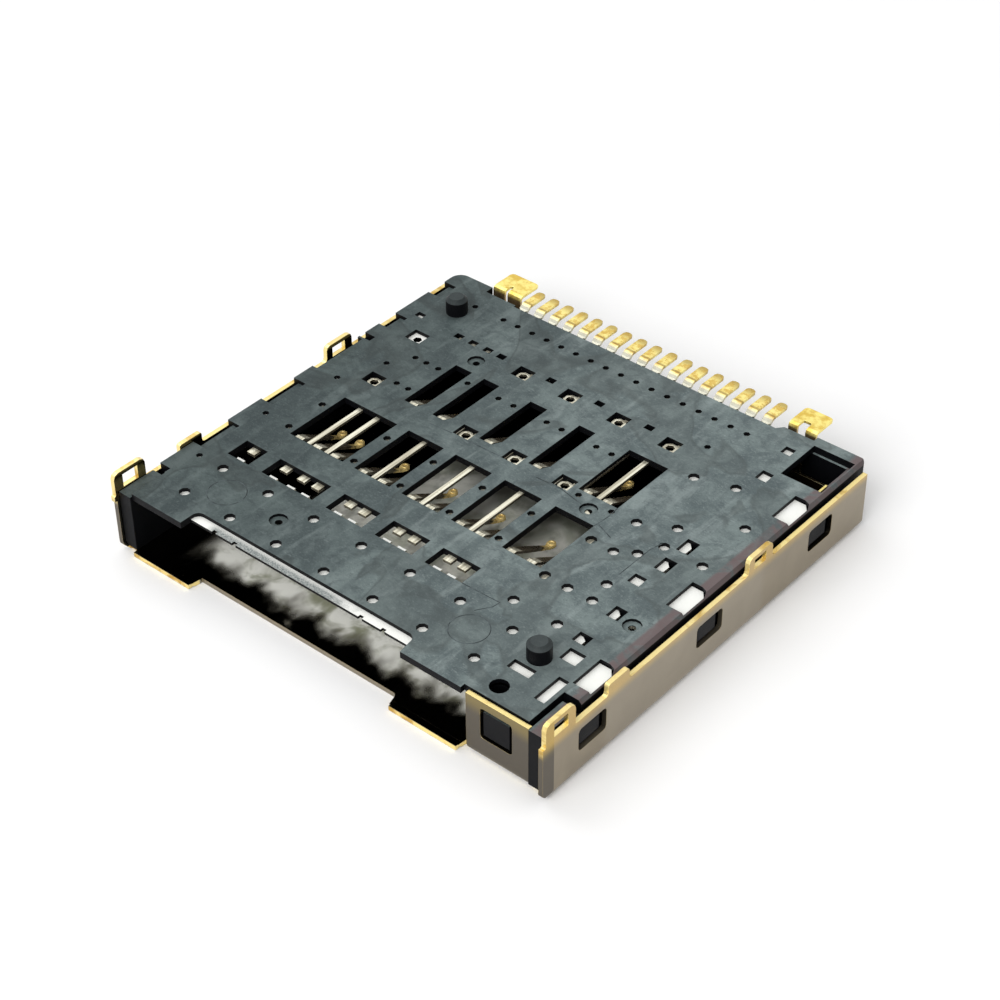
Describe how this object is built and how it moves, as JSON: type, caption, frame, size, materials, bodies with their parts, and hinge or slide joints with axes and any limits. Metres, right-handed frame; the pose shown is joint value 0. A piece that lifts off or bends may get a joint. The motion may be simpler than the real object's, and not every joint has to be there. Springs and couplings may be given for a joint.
{
  "type": "game card slot",
  "caption": "Push-in, push-out card slot for a circuit board: moulded base with two rows of sprung contacts, folded metal shell and a heart-cam ejector.",
  "frame": {"origin": "middle of the box, at the underside of the sheet metal floor", "axes": "+X across the slot towards the ejector, +Y from the card mouth towards the solder tails, +Z from the floor up to the face that meets the board"},
  "size_m": [0.0274, 0.0274, 0.0047],
  "materials": {
    "housing_plastic": "moulded, fine matte grain",
    "shield_metal": "nickel plated, rolled",
    "ground_metal": "bright plated sheet",
    "contact_metal": "selective gold over nickel",
    "slider_plastic": "moulded, smooth",
    "spring_steel": "drawn spring wire"
  },
  "bodies": {
    "housing": {"base_housing": "housing_plastic", "shield_shell": "shield_metal", "ground_plate": "ground_metal", "hold_down_tab_left": "contact_metal", "contact_01": "contact_metal", "contact_02": "contact_metal", "contact_03": "contact_metal", "contact_04": "contact_metal", "contact_05": "contact_metal", "contact_06": "contact_metal", "contact_07": "contact_metal", "contact_08": "contact_metal", "contact_09": "contact_metal", "contact_10": "contact_metal", "contact_11": "contact_metal", "contact_12": "contact_metal", "contact_13": "contact_metal", "contact_14": "contact_metal", "contact_15": "contact_metal", "contact_16": "contact_metal", "contact_17": "contact_metal", "detect_spring_contact": "contact_metal", "detect_fixed_contact": "contact_metal", "ejector_spring": "spring_steel"},
    "slider": {"ejector_slider": "slider_plastic"},
    "pin": {"cam_pin": "spring_steel"}
  },
  "joints": [
    {"name": "slider_travel", "type": "slide", "parent": "housing", "child": "slider", "axis": [0, 1, 0], "range_m": [0, 0.003], "stiffness_N_per_m": 120, "springref_m": -0.002, "deforming": ["ejector_spring"]},
    {"name": "pin_swing", "type": "hinge", "parent": "housing", "child": "pin", "pos_m": [0.00989, -0.01212, 0.00062], "axis": [0, 0, 1], "range_deg": [0, 11]}
  ]
}
